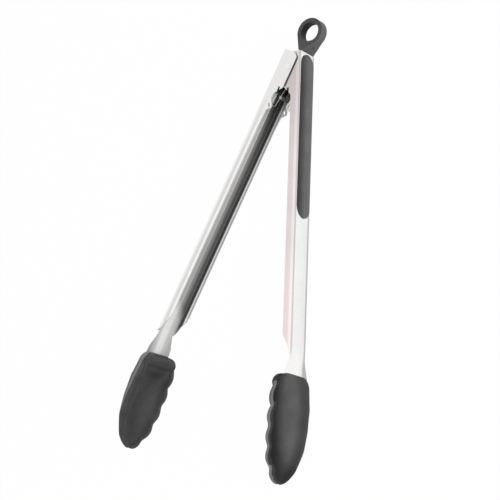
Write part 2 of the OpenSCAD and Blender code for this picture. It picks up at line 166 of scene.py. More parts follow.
class ShaderGraph:
    """The nodes of a material or a world, built step by step."""

    def __init__(self, owner: Material | bpy.types.World, shader: str = "Principled BSDF") -> None:
        """Takes up the shader that a new material or world starts with.

        Args:
            owner: The material or world.
            shader: Name of its shader.
        """
        owner.use_nodes = True
        self.owner = owner
        self.tree = owner.node_tree
        self.shader = self.tree.nodes[shader]

    def feed(self, end: Socket, value: object) -> None:
        """Gives a socket its value.

        Args:
            end: The socket.
            value: Another socket that it is linked to, or a plain value.
        """
        if isinstance(value, bpy.types.NodeSocket):
            self.tree.links.new(value, end)
        else:
            end.default_value = value

    def add(self, kind: str, inputs: Optional[dict] = None, **properties: object) -> bpy.types.Node:
        """Adds a node.

        Args:
            kind: The node's type name, without ShaderNode before it.
            inputs: What its sockets get, by name or number.
            properties: Its other settings.

        Returns:
            The new node.
        """
        node = self.tree.nodes.new(f"ShaderNode{kind}")
        for key, value in properties.items():
            setattr(node, key, value)
        for key, value in (inputs or {}).items():
            self.feed(node.inputs[key], value)
        return node

    def dress(self, **values: object) -> None:
        """Gives the shader's own sockets, named with _ for a space, what they show."""
        for key, value in values.items():
            self.feed(self.shader.inputs[key.replace("_", " ")], value)

    def calc(self, operation: str, *values: object) -> Socket:
        """A grey value worked out from others."""
        return self.add("Math", dict(enumerate(values)), operation=operation).outputs[0]

    def turned(self, vector: Socket, turn: float, scale: Triple) -> Socket:
        """A vector turned about Z, by an angle in degrees, and then scaled."""
        about_z = self.add("Mapping", {"Vector": vector, "Rotation": (0, 0, math.radians(turn))})
        return self.add("Mapping", {"Vector": about_z.outputs[0], "Scale": scale}).outputs[0]

    def where(self) -> Socket:
        """Object coordinates."""
        return self.add("TexCoord").outputs["Object"]

    def noise(self, vector: Socket, scale: float, detail: float, roughness: float = 0.6) -> Socket:
        """A noise pattern's grey value on a vector."""
        inputs = {"Vector": vector, "Scale": scale, "Detail": detail, "Roughness": roughness}
        return self.add("TexNoise", inputs).outputs["Fac"]

    def ramp(self, value: Socket, low: float, high: float, start: float, stop: float) -> Socket:
        """Maps a grey value from start..stop to low..high."""
        return self.add("MapRange", dict(enumerate((value, start, stop, low, high)))).outputs[0]

    def between(self, share: Socket, first: Socket, second: Socket) -> Socket:
        """A grey value that goes from the first to the second, the node's sockets 2 and 3, by a share."""
        return self.add("Mix", {0: share, 2: first, 3: second}, data_type="FLOAT").outputs[0]

    def mix(self, share: object, first: object, second: object, way: str = "MIX") -> Socket:
        """Mixes two colours with their alpha, the node's sockets 6 and 7, by a share of the second."""
        return self.add("Mix", {0: share, 6: first, 7: second}, data_type="RGBA", blend_type=way).outputs[2]

    def in_arm(self, side: Side) -> dict[str, Socket]:
        """An arm's own coordinates in metres.

        Args:
            side: The arm.

        Returns:
            Sockets named along (distance from the hinge), height (out of the back), across and rise (up).
        """
        space = ArmSpace(side)
        apart = self.add("VectorMath", {0: self.where(), 1: space.hinge}, operation="SUBTRACT")
        turned = self.turned(apart.outputs[0], side.way * space.open_angle, (-1, side.way, 1))
        split = self.add("SeparateXYZ", {0: turned}).outputs
        return {"along": split["X"], "height": split["Y"], "rise": split["Z"],
                "across": self.calc("ABSOLUTE", split["Z"])}

    def bands(self, value: Socket, stops: Stops) -> Socket:
        """A grey value that runs through stops.

        Args:
            value: The place, in metres.
            stops: Places in millimetres, rising, with the grey value there.

        Returns:
            The socket with the grey value.
        """
        low, high = stops[0][0], stops[-1][0]
        made = self.add("ValToRGB", {"Fac": self.ramp(value, 0, 1, low * MM, high * MM)})
        elements = made.color_ramp.elements
        while len(elements) < len(stops):
            elements.new(0.5)
        for element, (where, level) in zip(elements, stops):
            element.position = (where - low) / (high - low)
            element.color = (level, level, level, 1)
        return made.outputs["Color"]

    def tone(self, shade: Socket) -> None:
        """Multiplies the base colour by a grey value."""
        colour = self.shader.inputs["Base Color"].links[0].from_socket
        self.dress(Base_Color=self.mix(1.0, colour, shade, "MULTIPLY"))

    def bump(self, height: Socket, strength: float, depth: float) -> None:
        """Gives the surface relief of a depth in metres, over the relief that it already has."""
        inputs = {"Normal": link.from_socket for link in self.shader.inputs["Normal"].links}
        inputs.update(Height=height, Strength=strength, Distance=depth)
        self.dress(Normal=self.add("Bump", inputs).outputs["Normal"])

    def sees_white(self) -> Socket:
        """A value that is 1 for the rays that see the background as plain white.

        Returns:
            The socket with the value: camera, glossy and transmission rays.
        """
        rays = self.add("LightPath").outputs
        seen = rays["Is Camera Ray"]
        for kind in ("Is Glossy Ray", "Is Transmission Ray"):
            seen = self.calc("MAXIMUM", seen, rays[kind])
        return seen


@dataclass(frozen=True)
class Finish:
    """A finish whose colour and roughness vary together, as a grey value runs through its mottle."""

    name: str
    dark: Colour = (0.022, 0.0215, 0.0222)
    light: Colour = (0.034, 0.0332, 0.0342)
    roughness: float = 0.44
    shinier: float = 0.05
    duller: float = 0.07
    mottle: tuple[float, float] = (0.3, 0.7)

    def colours(self) -> tuple[Colour, Colour]:
        """The colours between which it varies."""
        return self.dark, self.light

    def graph(self) -> ShaderGraph:
        """Starts the material's nodes."""
        return ShaderGraph(bpy.data.materials.new(self.name))

    def vary(self, graph: ShaderGraph, value: Socket) -> None:
        """Lets the colour and the roughness follow a grey value.

        Args:
            graph: The material's nodes.
            value: The grey value.
        """
        dark, light = self.colours()
        low, high = self.roughness - self.shinier, self.roughness + self.duller
        graph.dress(Base_Color=graph.mix(graph.ramp(value, 0, 1, *self.mottle), (*dark, 1), (*light, 1)),
                    Roughness=graph.ramp(value, low, high, *self.mottle))

    def material(self) -> Material:
        """Builds the material."""
        return self.graph().owner


@dataclass(frozen=True)
class BrushedSteel(Finish):
    """Stainless steel with a fine grain along the piece and faint handling marks."""

    dark: Colour = (0.80, 0.79, 0.785)
    light: Colour = (0.90, 0.89, 0.885)
    roughness: float = 0.26
    shinier: float = 0.06
    duller: float = 0.08
    mottle: tuple[float, float] = (0.5, 1.1)
    turn: float = 0.0
    grain: Triple = (60.0, 2600.0, 2600.0)
    grain_share: float = 0.6
    marks: float = 55.0
    relief: float = 0.05
    relief_depth: float = 0.00004

    def graph(self) -> ShaderGraph:
        """Builds the steel's nodes.

        Returns:
            The nodes.
        """
        graph = super().graph()
        graph.dress(Metallic=1.0)
        grain = graph.noise(graph.turned(graph.where(), self.turn, self.grain), scale=1.0, detail=3.0)
        marks = graph.noise(graph.turned(graph.where(), self.turn, (1, 1, 1)), self.marks, detail=5.0)
        self.vary(graph, graph.calc("MULTIPLY_ADD", grain, self.grain_share, marks))
        graph.bump(grain, self.relief, self.relief_depth)
        return graph


@dataclass(frozen=True)
class PolishedSheet(BrushedSteel):
    """Polished sheet with painted reflections, light and shade: soft bands over one coordinate of the arm,
    and a tone that changes along it.

    fade is where the bands start and stop to run out, and the tone they end in. With a lean, they run out
    earlier at the upper edge and later at the lower one. ends are the bands across that they end in.
    """

    dark: Colour = (0.9, 0.89, 0.885)
    light: Colour = (1.0, 0.995, 0.99)
    side: Side = Side.OUTER
    axis: str = "height"
    stops: Stops = ((0, 1), (9, 1))
    along: Stops = ((0, 1), (200, 1))
    fade: tuple[float, float, float] = (900.0, 901.0, 0.8)
    lean: float = 0.0
    ends: Stops = ((-10, 1), (10, 1))
    metal: float = 1.0

    def graph(self) -> ShaderGraph:
        """Adds the bands and the tone to the steel's nodes.

        Returns:
            The nodes.
        """
        graph = super().graph()
        graph.dress(Metallic=self.metal)
        arm = graph.in_arm(self.side)
        banded = graph.calc("MULTIPLY", graph.bands(arm[self.axis], self.stops),
                            graph.bands(arm["along"], self.along))
        start, stop, tone = self.fade
        ends = graph.bands(arm["rise"], tuple((rise, tone * share) for rise, share in self.ends))
        leaning = graph.calc("MULTIPLY_ADD", arm["rise"], self.lean, arm["along"])
        graph.tone(graph.between(graph.ramp(leaning, 0, 1, start * MM, stop * MM), banded, ends))
        return graph


@dataclass(frozen=True)
class SoftRubber(Finish):
    """Charcoal rubber or plastic with a fine matte skin and dusty, slightly rubbed areas."""

    gloss: float = 0.28
    skin: float = 3200.0
    skin_relief: float = 0.35
    skin_depth: float = 0.00002
    cloud: float = 70.0
    cloud_relief: float = 0.12
    cloud_depth: float = 0.0002

    def graph(self) -> ShaderGraph:
        """Builds the rubber's nodes.

        Returns:
            The nodes.
        """
        graph = super().graph()
        graph.dress(Specular_IOR_Level=self.gloss)
        cloud = graph.noise(graph.where(), self.cloud, detail=4.0)
        self.vary(graph, cloud)
        graph.bump(graph.noise(graph.where(), self.skin, detail=2.0), self.skin_relief, self.skin_depth)
        graph.bump(cloud, self.cloud_relief, self.cloud_depth)
        return graph


@dataclass(frozen=True)
class PaintedLightRubber(SoftRubber):
    """Rubber with painted light and shade: soft bands over its height and from edge to edge that darken it.
    """

    side: Side = Side.OUTER
    paler: float = 3.0
    heights: Stops = ((0, 1), (9, 1))
    stops: Stops = ((-10, 1), (10, 1))

    def colours(self) -> tuple[Colour, Colour]:
        """The same colours made paler, because the bands only darken."""
        return tuple(tuple(self.paler * level for level in colour) for colour in super().colours())

    def graph(self) -> ShaderGraph:
        """Adds the bands to the rubber's nodes.

        Returns:
            The nodes.
        """
        graph = super().graph()
        arm = graph.in_arm(self.side)
        graph.tone(graph.calc("MULTIPLY", graph.bands(arm["height"], self.heights),
                              graph.bands(arm["rise"], self.stops)))
        return graph


class Piece:
    """A piece of the tongs that is built in a bmesh and made an object.

    Points closer than weld, in metres, become one, and faces within flat degrees count as one flat region.
    """

    weld: float = 1e-6
    flat: float = 0.6

    def __init__(self, name: str) -> None:
        """Starts with an empty bmesh."""
        self.name = name
        self.bm = bmesh.new()

    def from_node(self, node: str) -> "Piece":
        """Takes a welded copy of a CAD node's mesh, with its flat regions as single faces.

        Args:
            node: The node.

        Returns:
            The piece.
        """
        self.bm.from_mesh(frame["nodes"][node].data)
        bmesh.ops.remove_doubles(self.bm, verts=self.bm.verts[:], dist=self.weld)
        bmesh.ops.dissolve_limit(self.bm, angle_limit=math.radians(self.flat), verts=self.bm.verts[:],
                                 edges=self.bm.edges[:], use_dissolve_boundaries=False)
        return self

    def soften(self, width: float, segments: int, angle: float = 35.0) -> "Piece":
        """Rounds the sharp edges.

        Args:
            width: Width of the rounding, in the mesh's own unit.
            segments: Number of faces across it.
            angle: Least angle of an edge that counts as sharp, in degrees.

        Returns:
            The piece.
        """
        edges = [e for e in self.bm.edges if e.calc_face_angle(0) > math.radians(angle)]
        bmesh.ops.bevel(self.bm, geom=edges, offset=width, offset_type="OFFSET", segments=segments,
                        profile=0.5, affect="EDGES", clamp_overlap=True, material=-1)
        return self

    def outwards(self) -> None:
        """Turns every face outwards."""
        bmesh.ops.recalc_face_normals(self.bm, faces=self.bm.faces[:])

    def move(self, matrix: Matrix) -> None:
        """Transforms the mesh by a matrix that may mirror it, and turns its faces outwards again."""
        bmesh.ops.transform(self.bm, matrix=matrix, verts=self.bm.verts[:])
        self.outwards()

    def finish(self, materials: Iterable[Material], body: str, slot: Slot, replaced: Iterable[str],
               sharp: float = 40.0, levels: int = 0) -> bpy.types.Object:
        """Makes the object, dresses it and lets it ride.

        Args:
            materials: The finishes, in the order of the faces' numbers.
            body: The body that it rides on.
            slot: The record's slot for its finish; not used.
            replaced: The CAD nodes that it stands for.
            sharp: Angle in degrees above which an edge stays sharp in shading.
            levels: Levels of subdivision.

        Returns:
            The object.
        """
        for edge in self.bm.edges:
            edge.smooth = len(edge.link_faces) != 2 or edge.calc_face_angle(0) < math.radians(sharp)
        for face in self.bm.faces:
            face.smooth = True
        mesh = bpy.data.meshes.new(self.name)
        self.bm.to_mesh(mesh)
        self.bm.free()
        made = in_scene(bpy.data.objects.new(self.name, mesh))
        for material in materials:
            mesh.materials.append(material)
        if levels:
            rounding = made.modifiers.new("rounding", "SUBSURF")
            rounding.levels = rounding.render_levels = levels
        else:
            made.modifiers.new("shading", "WEIGHTED_NORMAL").keep_sharp = True
        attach(made, body)
        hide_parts(*replaced)
        return made


@dataclass(frozen=True)
class ArmFinishes:
    """The finishes of one arm: polished outside, darker inside, bare cut edges; their bands and tones are
    painted light, shade and reflections.

    Each part has its bands over one coordinate and, where it changes along the arm, its tone there. All
    places are in millimetres.
    """

    side: Side
    # back_tone: painted light, a little paler on the blade.
    back_tone: Stops = ((0, 1), (185, 1), (200, 1.06), (210, 1.06))
    # outer_wall, inner_wall and inner_wall_tone: painted reflection bands across the walls' height, and
    # painted shade towards the hinge on the inner arm.
    outer_wall: Stops = ((-3, 0.9), (2, 0.98), (3.4, 1), (4.4, 0.8), (5.1, 0.72), (6.1, 0.77), (7, 0.9),
                         (7.9, 1), (9, 1))
    inner_wall: Stops = ((-3, 0.76), (2.1, 0.76), (5.6, 0.78), (6.4, 0.92), (7.8, 0.94), (8.4, 0.64),
                         (9, 0.64))
    inner_wall_tone: Stops = ((0, 0.78), (30, 0.84), (60, 0.95), (120, 0.98), (160, 1.08), (200, 1.08))
    # floor_bands and floor_tone: painted shade across the channel's floor, dark towards the hinge.
    floor_bands: Stops = ((2.5, 0.18), (3.5, 0.28), (4.4, 0.22), (6, 0.14), (8.7, 0.07))
    floor_tone: Stops = ((0, 0.12), (20, 0.35), (50, 0.9), (80, 1), (200, 1))
    # middle_bands and middle_tone: painted shade by the hinge, a painted highlight patch from 19 to 24 mm and
    # painted reflection bands across.
    middle_bands: Stops = ((0, 0.5), (0.9, 0.53), (1.6, 0.66), (2.1, 0.6), (2.5, 0.28))
    middle_tone: Stops = ((0, 0.1), (17.5, 0.14), (19, 1.7), (24, 1.7), (25.5, 0.7), (29, 1.1), (60, 1),
                          (85, 0.9), (130, 0.72), (200, 0.7))
    # neck_bands: painted reflection bands across the inside of the neck.
    neck_bands: Stops = ((-9.5, 0.58), (-7.3, 0.6), (-6.3, 0.66), (-5.4, 0.72), (-3.4, 0.7), (-2.5, 0.81),
                         (-1.5, 0.95), (-0.6, 1), (3.3, 1.04), (4.2, 0.94), (5.2, 0.8), (6.2, 0.66),
                         (8.1, 0.62), (9.5, 0.45), (12, 0.35))
    # inside_bands and inside_tone: a painted highlight line and a painted shade line along the walls' free
    # edges, dark deeper inside and towards the hinge as painted shade.
    inside_bands: Stops = ((2.1, 1), (2.7, 1), (3, 0.42), (3.4, 0.42), (3.8, 1), (4.6, 1), (5.2, 0.07),
                           (6.6, 0.05), (7.4, 0.1), (8.1, 0.14))
    inside_tone: Stops = ((0, 0.6), (20, 0.6), (28, 0.9), (60, 1), (200, 1))

    def sheet(self, part: str, axis: str, stops: Stops, along: Stops = ((0, 1), (200, 1)),
              **more: object) -> Material:
        """One finish of the sheet: its bands over a coordinate, its tone along the arm and other fields."""
        turn = self.side.way * ArmSpace(self.side).open_angle
        return PolishedSheet(f"{self.side.value}_{part}", side=self.side, axis=axis, stops=stops, along=along,
                             turn=turn, **more).material()

    def matte_painted_light(self, part: str, axis: str, stops: Stops, along: Stops, **more: object) -> Material:
        """One finish of the inside of the channel, matte where the polish doesn't reach, with its light and
        shade painted in bands.
        """
        return self.sheet(part, axis, stops, along, roughness=0.45, metal=0.0, **more)

    def under_back(self, part: str, stops: Stops, along: Stops) -> Material:
        """One finish of the inside of the back, with bands that run out into the neck's."""
        return self.matte_painted_light(part, "across", stops, along, fade=(169.0, 178.0, 0.7), lean=0.8,
                         ends=self.neck_bands)

    def back(self) -> Material:
        """The back, the neck and the blade, in painted light and reflections: paler towards the upper edge,
        with a painted grey line along each bend.

        Returns:
            The material.
        """
        edge = StampedArm(self.side).half_width
        stops = ((-edge, 0.52), (1.9 - edge, 0.48), (2.6 - edge, 0.62), (3.3 - edge, 0.9), (0, 0.94),
                 (edge - 2.0, 0.96), (edge - 1.2, 0.97), (edge - 0.8, 0.68), (edge - 0.3, 0.68), (edge, 0.82))
        ends = ((-edge, 0.5), (1.9 - edge, 0.5), (2.8 - edge, 0.66), (4.2 - edge, 0.92), (0, 1), (edge, 1))
        return self.sheet("back", "rise", stops, self.back_tone, fade=(187.0, 196.0, 1.0), ends=ends)

    def wall(self) -> Material:
        """The outside of the walls in painted reflection bands, darker towards the hinge as painted shade,
        with the inner arm's pinkish tint a painted reflection; the two arms catch the light differently.

        Returns:
            The material.
        """
        if self.side is Side.OUTER:
            return self.sheet("wall", "height", self.outer_wall, fade=(45.0, 20.0, 0.85),
                              light=(1.0, 0.985, 0.98))
        return self.sheet("wall", "height", self.inner_wall, self.inner_wall_tone,
                          dark=(0.94, 0.83, 0.815), light=(1.0, 0.94, 0.93))

    def floor(self) -> Material:
        """The inside of the back beside the walls, darkened towards the hinge as painted shade."""
        return self.under_back("channel_floor", self.floor_bands, self.floor_tone)

    def middle(self) -> Material:
        """The middle of the inside of the back, paler all the way, with painted shade by the hinge and a
        painted highlight patch near it.
        """
        return self.under_back("channel_middle", self.middle_bands, self.middle_tone)

    def inside(self) -> Material:
        """The inside of the walls, with a painted highlight line and a painted shade line along the free
        edge, and painted shade towards the hinge.
        """
        return self.matte_painted_light("channel_wall", "height", self.inside_bands, self.inside_tone,
                         fade=(185.0, 200.0, 0.3))

    def lug(self) -> Material:
        """The inner face of the lug, plain and pale."""
        return self.sheet("lug_face", "height", ((-4, 1), (9, 1)), roughness=0.6, metal=0.0)

    def edge(self) -> Material:
        """The bare cut edges, in painted shadow at the ears, and on the inner arm in painted shade at the
        lug.

        Returns:
            The material.
        """
        # The ears' edges are darkened as painted shadow, and the inner arm's lug edges as painted shade.
        lug, bare, ear_shadow = (0.34 if self.side is Side.INNER else 0.85), 0.85, 0.055
        stops = ((-4, lug), (1.6, lug), (2, bare), (9, bare))
        along = ((0, ear_shadow / lug), (12.6, ear_shadow / lug), (13.2, 1), (200, 1))
        return self.sheet("cut_edge", "height", stops, along, roughness=0.36, metal=0.4)

    def all(self) -> list[Material]:
        """All of them, in the order of Zone."""
        return [self.back(), self.wall(), self.floor(), self.inside(), self.edge(), self.middle(), self.lug()]


@dataclass
class StampedArm:
    """A U channel of thin steel, with ears, lug, neck and blade. Sizes are in millimetres.

    The fields from inward on tell by a face's normal which way it lies.
    """

    side: Side
    edge_round: float = 0.16
    sheet: float = 0.9
    back: float = 9.0
    inner_width: float = 17.2
    nest_gap: float = 0.1
    neck_end: float = 196.0
    ear_end: float = 22.0
    lug_from: float = 2.0
    middle: float = 2.5
    blade_from: float = 188.0
    blade_back: float = 9.0
    blade_step: int = 3
    blade_widening: float = 0.22
    blade_most: float = 10.2
    blade_flat: float = 5.0
    blade_curl: float = 0.35
    blade_drop: float = 0.9
    blade_half: float = 12.5
    blade_tuck: float = 1.0
    tuck_reach: float = 10.0
    trim: float = 0.8
    trim_below: float = 3.0
    trim_from: float = 26.0
    trim_full: float = 42.0
    near: float = 0.0001
    within_sheet: float = 0.6
    inward: float = 0.01
    facing_down: float = 0.3
    facing_across: float = 0.5
    facing_out: float = 0.6
    flat_wall: float = 0.9

    @property
    def half_width(self) -> float:
        """Half of the channel's outer width; the outer arm takes the inner one between its walls."""
        return self.inner_width / 2 + (self.sheet + self.nest_gap if self.side is Side.OUTER else 0.0)

    def zone(self, centre: Vector, normal: Vector) -> Zone:
        """Tells the finish of a face.

        Args:
            centre: The face's centre in the arm's frame, in millimetres.
            normal: Its normal there.

        Returns:
            The zone of the sheet that it belongs to.
        """
        across, tilt, skin = abs(centre.z), abs(normal.z), self.within_sheet * self.sheet
        within = across < self.half_width - skin and centre.y < self.back - skin
        if within and centre.y < self.lug_from and centre.x < -self.ear_end:
            return Zone.LUG
        inward = centre.z * normal.z < -self.inward and tilt > self.facing_across
        if within and inward and centre.x > -self.neck_end:
            return Zone.INSIDE
        if within and normal.y < -self.facing_down:
            return Zone.MIDDLE if across < self.middle else Zone.FLOOR
        if centre.x < -self.neck_end:
            return Zone.BACK
        if centre.y < self.back - 2 * self.sheet and tilt < self.flat_wall:
            return Zone.EDGE if centre.z > 0 or centre.x > -self.ear_end else Zone.BACK
        return Zone.WALL if tilt > self.facing_out else Zone.BACK

    def divide(self, bm: bmesh.types.BMesh, axis: Vector, *places: float) -> None:
        """Cuts every face that crosses a plane across the axis, at each of the places on it."""
        for place in places:
            bmesh.ops.bisect_plane(bm, geom=bm.verts[:] + bm.edges[:] + bm.faces[:], dist=self.near,
                                   plane_co=axis * place, plane_no=axis)

    def trim_walls(self, bm: bmesh.types.BMesh) -> None:
        """Takes a little off the free edges of the walls, growing from nothing at the ears.

        Args:
            bm: The arm's mesh in its own frame, in millimetres.
        """
        self.divide(bm, X, -self.trim_from, -self.trim_full)
        for vert in bm.verts:
            share = (-vert.co.x - self.trim_from) / (self.trim_full - self.trim_from)
            if vert.co.y < self.trim_below and share > 0:
                vert.co.y += self.trim * min(1.0, share)

    def shape_blade(self, bm: bmesh.types.BMesh) -> None:
        """Lets the blade dip and narrow at the head's mouth; the inner arm's one widens and curls before it.

        Args:
            bm: The arm's mesh in its own frame, in millimetres.
        """
        mouth = ScoopHead(self.side).start
        cuts = range(int(self.blade_from), int(mouth + self.blade_back) + 1, self.blade_step)
        self.divide(bm, X, *(-cut for cut in cuts))
        for vert in bm.verts:
            x = -vert.co.x
            fall = min(1.0, max(0.0, (x - mouth) / self.blade_back))
            share = gently((x - self.blade_from) / (mouth - self.blade_from)) * (1 - fall)
            vert.co.y -= self.blade_drop * share
            if self.side is Side.INNER and vert.co.z > 0:
                wider = min(vert.co.z * (1 + self.blade_widening * share), self.blade_most)
                vert.co.z = max(vert.co.z, wider)
                vert.co.y -= self.blade_curl * max(0.0, vert.co.z - self.blade_flat) * share
            most = self.blade_half - self.blade_tuck * max(0.0, 1 - abs(x - mouth) / self.tuck_reach)
            vert.co.z = max(-most, min(most, vert.co.z))

    def build(self) -> Made:
        """Builds the arm on a welded copy of its node, with its cut edges eased.

        Returns:
            The arm.
        """
        node = f"{self.side.value}_arm"
        piece = Piece(f"{self.side.value}_channel").from_node(node).soften(self.edge_round * MM, 2)
        to_row = ArmSpace(self.side).matrix()
        bmesh.ops.transform(piece.bm, matrix=to_row.inverted(), verts=piece.bm.verts[:])
        if self.side is Side.OUTER:
            self.trim_walls(piece.bm)
        self.divide(piece.bm, X, -self.blade_from)
        self.divide(piece.bm, Y, self.lug_from)
        self.divide(piece.bm, Z, -self.middle, self.middle)
        self.shape_blade(piece.bm)
        piece.outwards()
        for face in piece.bm.faces:
            face.material_index = self.zone(face.calc_center_median(), face.normal).value
        piece.move(to_row)
        return [piece.finish(ArmFinishes(self.side).all(), self.side.value, Slot.ARM, [node])]


@dataclass
class GripPad:
    """A soft pad bedded in an arm's back, crowned across. Sizes are in the arm's frame, in millimetres."""

    side: Side
    upper_end: float = 9.3
    lower_end: float = -102.0
    half_width: float = 7.3
    bed: float = 8.7
    rim: float = 9.25
    crown: float = 10.0
    crowned_share: float = 0.88
    rings: int = 7
    steps: int = 12
    edge_round: float = 0.35
    edge_angle: float = 50.0

    def outline(self, bm: bmesh.types.BMesh) -> bmesh.types.BMFace:
        """Draws the pad's outline, a bar with round ends, as one face at the height of its rim.

        Args:
            bm: The mesh.

        Returns:
            The face.
        """
        points = []
        middles = (self.upper_end - self.half_width, self.lower_end + self.half_width)
        for way, (centre, other) in ((1, middles), (-1, middles[::-1])):
            reach = way * self.half_width
            for i in range(self.steps + 1):
                angle = math.pi * (i / self.steps - 0.5)
                points.append((centre + reach * math.cos(angle), self.rim, reach * math.sin(angle)))
            for i in range(1, self.steps):
                points.append((centre + (other - centre) * i / self.steps, self.rim, reach))
        return bm.faces.new([bm.verts.new(point) for point in points])

    def build(self) -> Made:
        """Builds the pad: its outline is extruded down to its bed and inset upwards to its crown.

        Returns:
            The pad.
        """
        piece = Piece(f"{self.side.value}_soft_grip")
        copy = bmesh.ops.extrude_face_region(piece.bm, geom=[self.outline(piece.bm)])["geom"]
        lowered = [g for g in copy if isinstance(g, bmesh.types.BMVert)]
        bmesh.ops.translate(piece.bm, verts=lowered, vec=(0, self.bed - self.rim, 0))
        half_way = (self.bed + self.rim) / 2
        top = next(f for f in piece.bm.faces if len(f.verts) > 4 and f.calc_center_median().y > half_way)
        for ring in range(1, self.rings + 1):
            bmesh.ops.inset_individual(piece.bm, faces=[top], use_even_offset=True,
                                       thickness=self.crowned_share * self.half_width / self.rings)
            height = part_way(self.rim, self.crown, math.sin(math.pi / 2 * ring / self.rings))
            for vert in top.verts:
                vert.co.y = height
        piece.outwards()
        piece.soften(self.edge_round, 3, self.edge_angle)
        piece.move(ArmSpace(self.side).matrix())
        # The bands paint shade across the pad: it darkens from one long edge towards the other.
        name, bands = self.side.value, ((-7.3, 1), (-1, 0.97), (1.5, 0.84), (3, 0.66), (5, 0.45), (6.6, 0.33))
        skin = PaintedLightRubber(f"{name}_grip_rubber", side=self.side, roughness=0.55, gloss=0.15, paler=3.4,
                            stops=bands)
        return [piece.finish([skin.material()], name, Slot.GRIP, [f"{name}_grip"])]


@dataclass
class ScoopHead:
    """A silicone scoop with a lobed, slightly flared rim. Sizes are in the arm's frame, in millimetres."""

    side: Side
    seat: float = 206.0
    slack: float = 1.8
    end: float = 272.0
    half_width: float = 17.0
    mouth_half: float = 15.4
    tip_half: float = 1.2
    wide_at: float = 236.0
    back: float = 9.9
    swell: float = 2.6
    tip_drop: float = 13.6
    curve_from: float = 215.0
    rim_mouth: float = -0.25
    rim_tip: float = -3.1
    tip_level: float = 14.0
    lobe: float = 13.0
    lobe_height: float = 2.5
    lobe_shift: float = 2.0
    lobe_power: float = 0.8
    lip: float = 1.5
    lip_height: float = 2.8
    lip_step: float = 0.35
    lip_band: tuple[float, float] = (2.0, 3.8)
    wall: float = 2.2
    wall_gap: float = 0.3
    floor: float = 2.6
    mouth_wall: float = 4.0
    ramp: float = 14.0
    shallow: float = 0.1
    hollow_tip_half: float = 0.7
    steps: int = 14
    mouth_steps: tuple[float, ...] = (0.0, 0.25, 0.6, 1.1, 1.8, 2.6)
    straight_from: float = 3.6
    straight_steps: int = 17
    tip_steps: int = 22
    boxy: float = 0.3
    domed: float = 0.58
    dome_run: float = 30.0
    mouth_round: float = 2.8
    crown_ease: float = 0.5
    fullness: float = 2.5

    @property
    def start(self) -> float:
        """Distance of the mouth; the silicone is pushed up a little further on the inner arm."""
        return self.seat + (self.slack if self.side is Side.OUTER else -self.slack)

    @property
    def hollow_start(self) -> float:
        """Distance at which the hollow begins."""
        return self.start + self.mouth_wall

    def half(self, x: float) -> float:
        """Half of the width of the head.

        Args:
            x: Distance from the hinge.

        Returns:
            The half width there.
        """
        if x < self.wide_at:
            share = (x - self.start) / (self.wide_at - self.start)
            return part_way(self.mouth_half, self.half_width, math.sin(math.pi / 2 * share))
        share = (x - self.wide_at) / (self.end - self.wide_at)
        return self.half_width * max(0.0, 1 - share ** self.fullness) ** (1 / self.fullness)

    def domed_share(self, x: float) -> float:
        """How far the section has turned from boxy to domed at distance x, from 0 to 1."""
        return min(1.0, (x - self.start) / self.dome_run)

    def crown(self, x: float) -> float:
        """Height of the middle of the back at distance x."""
        drop = self.tip_drop * (max(0.0, x - self.curve_from) / (self.end - self.curve_from)) ** 3
        return self.back + self.swell * math.sin(math.pi / 2 * self.domed_share(x)) - drop

    def rim(self, x: float) -> float:
        """Height of the lobed rim.

        Args:
            x: Distance from the hinge.

        Returns:
            The height there.
        """
        share = min(1.0, (x - self.start) / (self.end - self.tip_level - self.start))
        shift = self.lobe_shift if self.side is Side.INNER else 0.0
        turn = math.pi * (self.end - x + self.lobe / 2 - shift) / self.lobe
        wave = abs(math.sin(turn)) ** self.lobe_power
        return part_way(self.rim_mouth, self.rim_tip, share) + self.lobe_height * (0.5 - wave)

    def places(self) -> list[float]:
        """Distances of the cross sections, closer together towards the mouth and the tip.

        Returns:
            The distances.
        """
        mouth = [self.start + step for step in self.mouth_steps]
        straight = [part_way(self.start + self.straight_from, self.wide_at, i / self.straight_steps)
                    for i in range(self.straight_steps)]
        tip = [part_way(self.wide_at, self.end, math.sin(math.pi / 2 * i / self.tip_steps))
               for i in range(self.tip_steps)]
        return mouth + straight + tip

    def arch(self, x: float, half: float, foot: float, crown: float, flare: float) -> Points:
        """A boxy arch from one foot over the crown to the other, with its feet flared out.

        Args:
            x: Distance from the hinge.
            half: Half of the arch's width.
            foot: Height of its feet.
            crown: Height of its crown.
            flare: How far the feet stand out.

        Returns:
            Points (across, height).
        """
        points = []
        power = part_way(self.boxy, self.domed, self.domed_share(x))
        last = 2 * self.steps
        for i in (0.0, self.lip_step, *range(1, last), last - self.lip_step, last):
            angle = math.pi * (1 - i / last)
            across = math.copysign(abs(math.cos(angle)) ** power, math.cos(angle))
            height = part_way(foot, crown, abs(math.sin(angle)) ** power)
            near_foot = max(0.0, 1 - (height - foot) / self.lip_height)
            points.append((across * (half - flare * (1 - near_foot * near_foot)), height))
        return points

    def outer_arch(self, x: float) -> Points:
        """The section of the outer shell, smaller at the mouth, whose edge is rounded over.

        Args:
            x: Distance from the hinge.

        Returns:
            Points (across, height).
        """
        ease = self.mouth_round * max(0.0, 1 - (x - self.start) / (2 * self.mouth_round)) ** 2
        return self.arch(x, max(self.tip_half, self.half(x) - ease), self.rim(x) + ease,
                         self.crown(x) - self.crown_ease * ease, self.lip)

    def inner_arch(self, x: float, at: float) -> Points:
        """The section of the hollow, which gets deeper behind the mouth's wall.

        Args:
            x: Distance of the outer section that it goes with.
            at: Its own distance from the hinge.

        Returns:
            Points (across, height).
        """
        half = max(self.hollow_tip_half, self.half(x) - self.wall - self.wall_gap)
        top, foot = min(self.back, self.crown(at)) - self.floor, self.rim(x)
        deep = part_way(self.shallow, 1, gently((at - self.hollow_start) / self.ramp))
        return self.arch(x, half, foot, part_way(foot, top, deep), 0.0)

